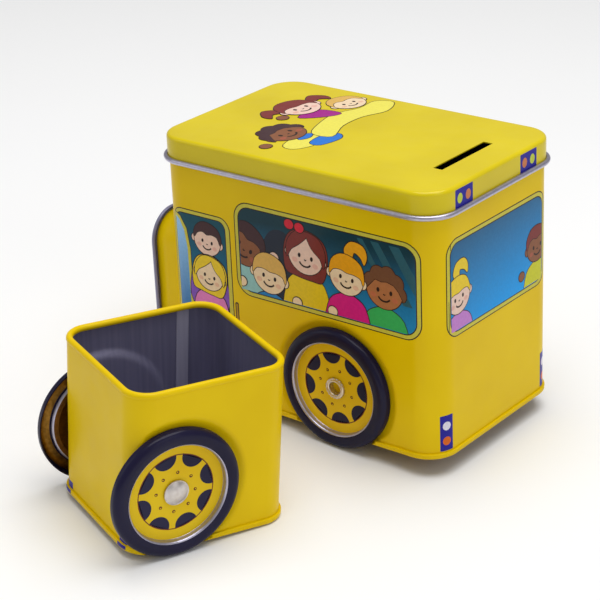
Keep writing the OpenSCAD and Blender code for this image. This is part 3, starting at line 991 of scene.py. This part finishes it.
def passenger(stamp, x, y, r, skin, hair, cut, shirt, tilt=0.0, base=4, box=None, flip=None,
              behind=None, hands=(), bow=None, lean=0.0):
    """Head at (x, y) with radius r. Sizes below are in head radii."""
    c, s = math.cos(math.radians(tilt)), math.sin(math.radians(tilt))

    def put(points, level, colour, line=0.34, turned=True):
        if turned:
            points = [(x + r * (px * c - py * s), y + r * (px * s + py * c)) for px, py in points]
        else:
            points = [(x + r * px, y + r * py) for px, py in points]
        if line:
            edge = grown(points, line)
            stamp(clipped(edge, box) if box else edge, base + level, LINE, flip)
        stamp(clipped(points, box) if box else points, base + level + 1, colour, flip)

    shoulders = smooth_loop([(-1.35 + lean, -4.2), (-1.2 + lean * 0.6, -1.7), (-0.45, -0.95), (0.45, -0.95),
                             (1.2 + lean * 0.6, -1.7), (1.35 + lean, -4.2)])
    if shirt:
        put(shoulders, 0, shirt, turned=False)
    for part_of in BEHIND.get(behind or cut, []):
        put(smooth_loop(part_of), 2, hair)
    for side in (-1, 1):
        put(disc(side * 1.0, -0.05, 0.2, 0.24, 12), 4, skin)
    put(disc(0, 0, 1.0, 0.93, 28), 6, skin)
    for part_of in HAIR[cut]:
        put(part_of if cut == "curls" else smooth_loop(part_of, 3), 8, hair, 0.28)
    blush = tuple(0.7 * a + 0.3 * b for a, b in zip(skin, tone(214, 96, 84)))
    for side in (-1, 1):
        put(disc(side * 0.6, -0.36, 0.17, 0.13, 12), 8, blush, 0)
        put(disc(side * 0.36, -0.06, 0.085, 0.12, 12), 9, LINE, 0)
    put(stroke([(0.34 * math.cos(math.radians(a)), -0.3 + 0.26 * math.sin(math.radians(a)))
                for a in range(200, 341, 20)], 0.09), 9, LINE, 0)
    put(stroke([(-0.06, -0.2), (0.0, -0.25), (0.06, -0.2)], 0.06), 9, LINE, 0)
    for hx, hy in hands:
        put(disc(hx, hy, 0.28, 0.26, 14), 10, skin, turned=False)
    if bow:
        for side in (-1, 1):
            put(disc(bow[0] + side * 0.3, bow[1], 0.27, 0.24, 14), 10, bow[2])


SKIN = {"light": tone(238, 204, 186), "fair": tone(240, 214, 178), "brown": tone(140, 88, 58),
        "tan": tone(176, 112, 70)}
HAIRS = {"dark": tone(70, 44, 48), "red": tone(128, 52, 48), "blond": tone(222, 178, 92),
         "gold": tone(236, 164, 28), "brown": tone(116, 76, 54), "yellow": tone(236, 204, 40)}
print("hair styles:", sorted(HAIR), "and behind the head:", sorted(BEHIND))

# %% [markdown]
# A window is four rounded frames inside each other: a thin dark line, a pale yellow band, a dark
# line again, and the glass, whose ink runs from a dark top to a bright blue bottom.

# %% Windows


def fade(bottom, top, y0, y1, side=0.0, x0=0.0, x1=1.0):
    """A colour that runs up the glass, and a little darker to one side."""

    def colour(x, y):
        f = min(max((y - y0) / (y1 - y0), 0), 1)
        g = 1 - side * min(max((x - x0) / (x1 - x0), 0), 1)
        return tuple((b + (a - b) * f) * g for a, b in zip(top[:3], bottom[:3])) + (1.0,)

    return colour


BAND = tone(206, 196, 70)
FRAME = 2.4


def window(stamp, box, r, glass, flip=None):
    """Stamps a window and returns the box that its passengers are cut to."""
    for k, (inset, colour) in enumerate(((0, LINE), (0.4, BAND), (1.8, LINE), (2.2, glass))):
        stamp(rounded(*shrunk(box, inset), r - inset * 0.8), k, colour, flip)
    return shrunk(box, FRAME)


GLASS = fade(tone(26, 138, 196), tone(20, 58, 70), 49, 78)
DOOR_GLASS = fade(tone(22, 120, 172), tone(18, 78, 96), 34, 70)
REAR_GLASS = fade(tone(0, 166, 250), tone(44, 104, 146), 47, 84, 0.2, 132, 66)


def side_art(stamp, flip=None):
    """The artwork of one long side, drawn for the left and flipped for the right."""
    box = window(stamp, (-27.3, 46.9, 57.4, 84.9), 6.8, GLASS, flip)
    for k, x in enumerate((30, 36, 44)):
        sheen = [(x, 82), (x + 2.5 + k, 82), (x + 17 + k, 60), (x + 14, 60)]
        stamp(clipped(sheen, box), 4, tone(44, 92, 104), flip)
    seat = smooth_loop([(-14, 48), (-15, 66), (-10, 76), (-2, 76), (2, 66), (2, 48)])
    stamp(clipped(seat, box), 4, tone(38, 46, 62), flip)
    common = {"box": box, "flip": flip}
    passenger(stamp, -22.3, 67.2, 8.4, SKIN["brown"], HAIRS["dark"], "short", tone(150, 200, 200), -28,
              **common)
    passenger(stamp, -11.2, 57.6, 7.6, SKIN["fair"], HAIRS["blond"], "fringe", tone(36, 128, 200), -8,
              18, hands=((-1.75, -0.65), (1.7, -1.0)), **common)
    passenger(stamp, 6.3, 69.6, 7.9, SKIN["light"], HAIRS["red"], "parted", tone(232, 200, 30), -6, 5,
              bow=(-0.75, 1.3, tone(214, 40, 60)), hands=((-1.9, -0.5),), **common)
    passenger(stamp, 25.0, 65.4, 7.5, SKIN["fair"], HAIRS["gold"], "fringe", tone(214, 30, 130), -8, 18,
              behind="tail", hands=((-0.9, -2.0),), **common)
    passenger(stamp, 41.8, 64.2, 7.9, SKIN["tan"], HAIRS["brown"], "curls", tone(56, 176, 92), -4, 5,
              hands=((-1.7, -2.2),), **common)
    door = (-59.0, 30.5, -29.6, 76.4)
    stamp(rounded(*door, 5.5), 0, LINE, flip)
    stamp(rounded(*shrunk(door, 0.4), 5.1), 1, BAND, flip)
    inner = (door[0] + 1.7, door[1] + 1.7, door[2] - 2.2, door[3] - 1.7)
    stamp(rounded(*inner, 3.8), 2, LINE, flip)
    stamp(rounded(*shrunk(inner, 0.35), 3.5), 3, DOOR_GLASS, flip)
    leaf_glass = fade(tone(60, 120, 180), tone(150, 200, 244), 36, 68)
    for level, colour, leaf in (
            (4, LINE, [(-57, 32.4), (-49.6, 32.4), (-49.8, 60), (-51.2, 68.5), (-54.2, 73.2), (-57, 74.2)]),
            (5, BAND, [(-57, 32.6), (-49.9, 32.6), (-50.1, 60), (-51.5, 68.3), (-54.4, 72.8), (-57, 73.8)]),
            (6, leaf_glass, [(-57, 32.8), (-51.3, 32.8), (-51.5, 60), (-52.7, 67.4), (-55, 71.4),
                             (-57, 72.4)])):
        stamp(leaf, level, colour, flip)
    passenger(stamp, -41.2, 65.2, 6.4, SKIN["light"], HAIRS["dark"], "short", tone(132, 84, 190), -6, 7,
              inner, flip)
    passenger(stamp, -40.9, 51.0, 6.6, SKIN["fair"], HAIRS["yellow"], "parted", tone(226, 130, 196), -10,
              20, inner, flip)
    stamp(rounded(-28.9, 34.2, -27.2, 42.8, 0.7), 0, LINE, flip)
    stamp(rounded(-28.5, 34.7, -27.6, 42.3, 0.4), 1, tone(176, 138, 30), flip)


to_bus, bus_cuts, bus_total = around_wall(BUS_X, BUS_Y, BUS_R, (AXLE_X, AXLE_Z))
bus_art, stamp_bus = print_sheet(to_bus, bus_cuts)
side_art(stamp_bus)
side_art(stamp_bus, flip=bus_total / 2)
print("side artwork stamped")

# %% Rear window, lights and windscreen
REAR = bus_total / 4
rear_box = window(stamp_bus, (REAR - 32.6, 46.6, REAR + 32.6, 84.8), 6.0, REAR_GLASS)
passenger(stamp_bus, REAR - 25.6, 61.6, 6.9, SKIN["light"], HAIRS["yellow"], "fringe",
          tone(196, 130, 206), 8, 4, rear_box, behind="tail")
passenger(stamp_bus, REAR + 27.0, 63.5, 6.9, SKIN["brown"], HAIRS["red"], "short",
          tone(206, 206, 40), 4, 4, rear_box, hands=((-1.55, -1.35),))
BLUE = tone(34, 30, 150)
for mid in (-32.95, 32.95):
    stamp_bus(rounded(REAR + mid - 2.8, 2.7, REAR + mid + 2.8, 17.0, 0.3), 0, BLUE)
    stamp_bus(disc(REAR + mid, 12.7, 1.75), 1, tone(226, 222, 236))
    stamp_bus(disc(REAR + mid, 6.6, 1.75), 1, tone(222, 104, 26))
FRONT = -bus_total / 4
FRONT_GLASS = fade(tone(28, 112, 170), tone(36, 60, 82), 72, 88)
window(stamp_bus, (FRONT - 31.0, 70.5, FRONT + 31.0, 90.5), 5.0, FRONT_GLASS)
printed_piece("bus_print", bus_art, BUS, "bus")

# %% Lights on the lid's skirt, and the figures on its top
to_skirt, skirt_cuts, skirt_total = around_wall(LX, LY, LR)
lid_art, stamp_skirt = print_sheet(to_skirt, skirt_cuts)
for mid, order in ((-22.7, 1), (19.6, -1)):
    at = skirt_total / 4 + mid
    stamp_skirt(rounded(at - 5.5, 95.9, at + 5.5, 102.95, 0.2), 0, BLUE)
    stamp_skirt(disc(at - order * 2.6, 99.3, 1.6, 1.9), 1, tone(196, 208, 70))
    stamp_skirt(disc(at + order * 2.6, 99.3, 1.6, 1.9), 1, tone(206, 124, 76))
printed_piece("lid_light_print", lid_art, BUS, "lid")


def to_top(u, v, out):
    return Vector((-v, u, LID_TOP + out)) * MM


top_art, stamp_top = print_sheet(to_top, [])
SHIRT = tone(236, 226, 92)
for level, (colour, points) in enumerate((
        (SHIRT, [(-25, 14), (-11, 15), (-8, 7), (-19, 4), (-27, 8)]),
        (tone(44, 118, 210), [(-18, 2), (-8, 0), (-4, 4), (-9, 8), (-18, 7)]),
        (SHIRT, [(-8, 4), (4, 8), (16, 8), (27, 4), (37, 8), (34, 15), (24, 15), (14, 19), (4, 18),
                 (-9, 13)]),
        (tone(44, 118, 210), [(-17.5, 12.5), (-13.5, 15.5), (-9.5, 12.5), (-13.5, 10.5)]),
        (tone(164, 34, 136), [(2.5, 27.5), (7, 29.5), (14.5, 27), (15.5, 17.5), (9.5, 19.5)]))):
    shape = smooth_loop(points)
    stamp_top(grown(shape, 0.35), 2 * level, LINE)
    stamp_top(shape, 2 * level + 1, colour)
for u, v, r, skin, hair, cut, tilt, base, behind in (
        (-14.6, 21.8, 8.8, "brown", "dark", "curls", 4, 10, None),
        (12.0, 35.0, 8.4, "light", "red", "fringe", -8, 22, "bunches"),
        (26.9, 22.6, 7.2, "fair", "blond", "short", -12, 10, None)):
    passenger(stamp_top, u, v, r, SKIN[skin], HAIRS[hair], cut, None, tilt, base, behind=behind,
              hands=((1.55, 1.3), (-1.75, -0.4)) if cut == "curls" else ())
printed_piece("lid_top_print", top_art, BUS, "lid")

# %% Blue marks at the foot of the cup's nose
to_cup, cup_cuts, cup_total = around_wall(CUP_X, CUP_Y, CUP_R, (CUP_AXLE_X, CUP_AXLE_Z))
cup_art, stamp_cup = print_sheet(to_cup, cup_cuts)
for mid in (-21.5, 21.5):
    at = cup_total * 3 / 4 + mid
    stamp_cup(rounded(at - 2.4, 2.3, at + 2.4, 5.0, 0.2), 0, BLUE)
    stamp_cup(rounded(at - 2.4, 0.8, at + 2.4, 2.1, 0.1), 0, BLUE, lift=0.9)
printed_piece("cup_print", cup_art, CUP, "cup")

# %% [markdown]
# The floor is plain and pale. Three soft lights stand in for a light tent: a large one above, a
# weaker one at each side, and a bright even surround that fills the shadows.

# %% Floor, lights and camera
bm = bmesh.new()
bmesh.ops.create_grid(bm, x_segments=1, y_segments=1, size=3)
floor = link_object("studio_floor", mesh_from(bm, "studio_floor"))
floor.location.z = -0.00012
floor_mat, floor_tree, floor_bsdf = shader("pale_floor", Roughness=0.8)
floor_tree.links.new(between(floor_tree, noise(floor_tree, 3), (0.93, 0.93, 0.93, 1), (0.95, 0.95, 0.95, 1)),
                     floor_bsdf.inputs["Base Color"])
floor.data.materials.append(floor_mat)

world = bpy.data.worlds.new("tent")
bpy.context.scene.world = world
world.use_nodes = True
world.node_tree.nodes["Background"].inputs["Color"].default_value = (1, 1, 1, 1)
world.node_tree.nodes["Background"].inputs["Strength"].default_value = 0.34


def lamp(name, where, target, size, power):
    data = bpy.data.lights.new(name, "AREA")
    data.shape = "RECTANGLE"
    data.size, data.size_y = size
    data.energy = power
    obj = link_object(name, data)
    obj.location = where
    obj.rotation_euler = (Vector(target) - Vector(where)).to_track_quat("-Z", "Y").to_euler()


middle_of_all = (0.0, 0.0, 0.05)
lamp("over", (0.1, 0.1, 1.2), middle_of_all, (1.0, 1.0), 12.5)
lamp("left_fill", (-0.9, -0.7, 0.6), middle_of_all, (0.5, 0.8), 1.2)
lamp("right_fill", (1.0, -0.2, 0.5), middle_of_all, (0.5, 0.8), 1.0)

CAMERA_AT = Vector((0.4198, -0.5160, 0.3789))
LOOK = Vector((-0.5514, 0.7129, -0.4332)).normalized()
ROLL = math.radians(0.2)
right = LOOK.cross(Vector((0, 0, 1))).normalized()
top = right.cross(LOOK)
right, top = right * math.cos(ROLL) + top * math.sin(ROLL), top * math.cos(ROLL) - right * math.sin(ROLL)
cam_data = bpy.data.cameras.new("studio_camera")
cam_data.lens = 120.76
cam_data.sensor_width = 36
cam = link_object("studio_camera", cam_data)
turned = Matrix((right, top, -LOOK)).transposed().to_4x4()
cam.matrix_world = Matrix.Translation(CAMERA_AT) @ turned
bpy.context.scene.camera = cam
bpy.context.scene.view_settings.view_transform = "Standard"
print("camera set")
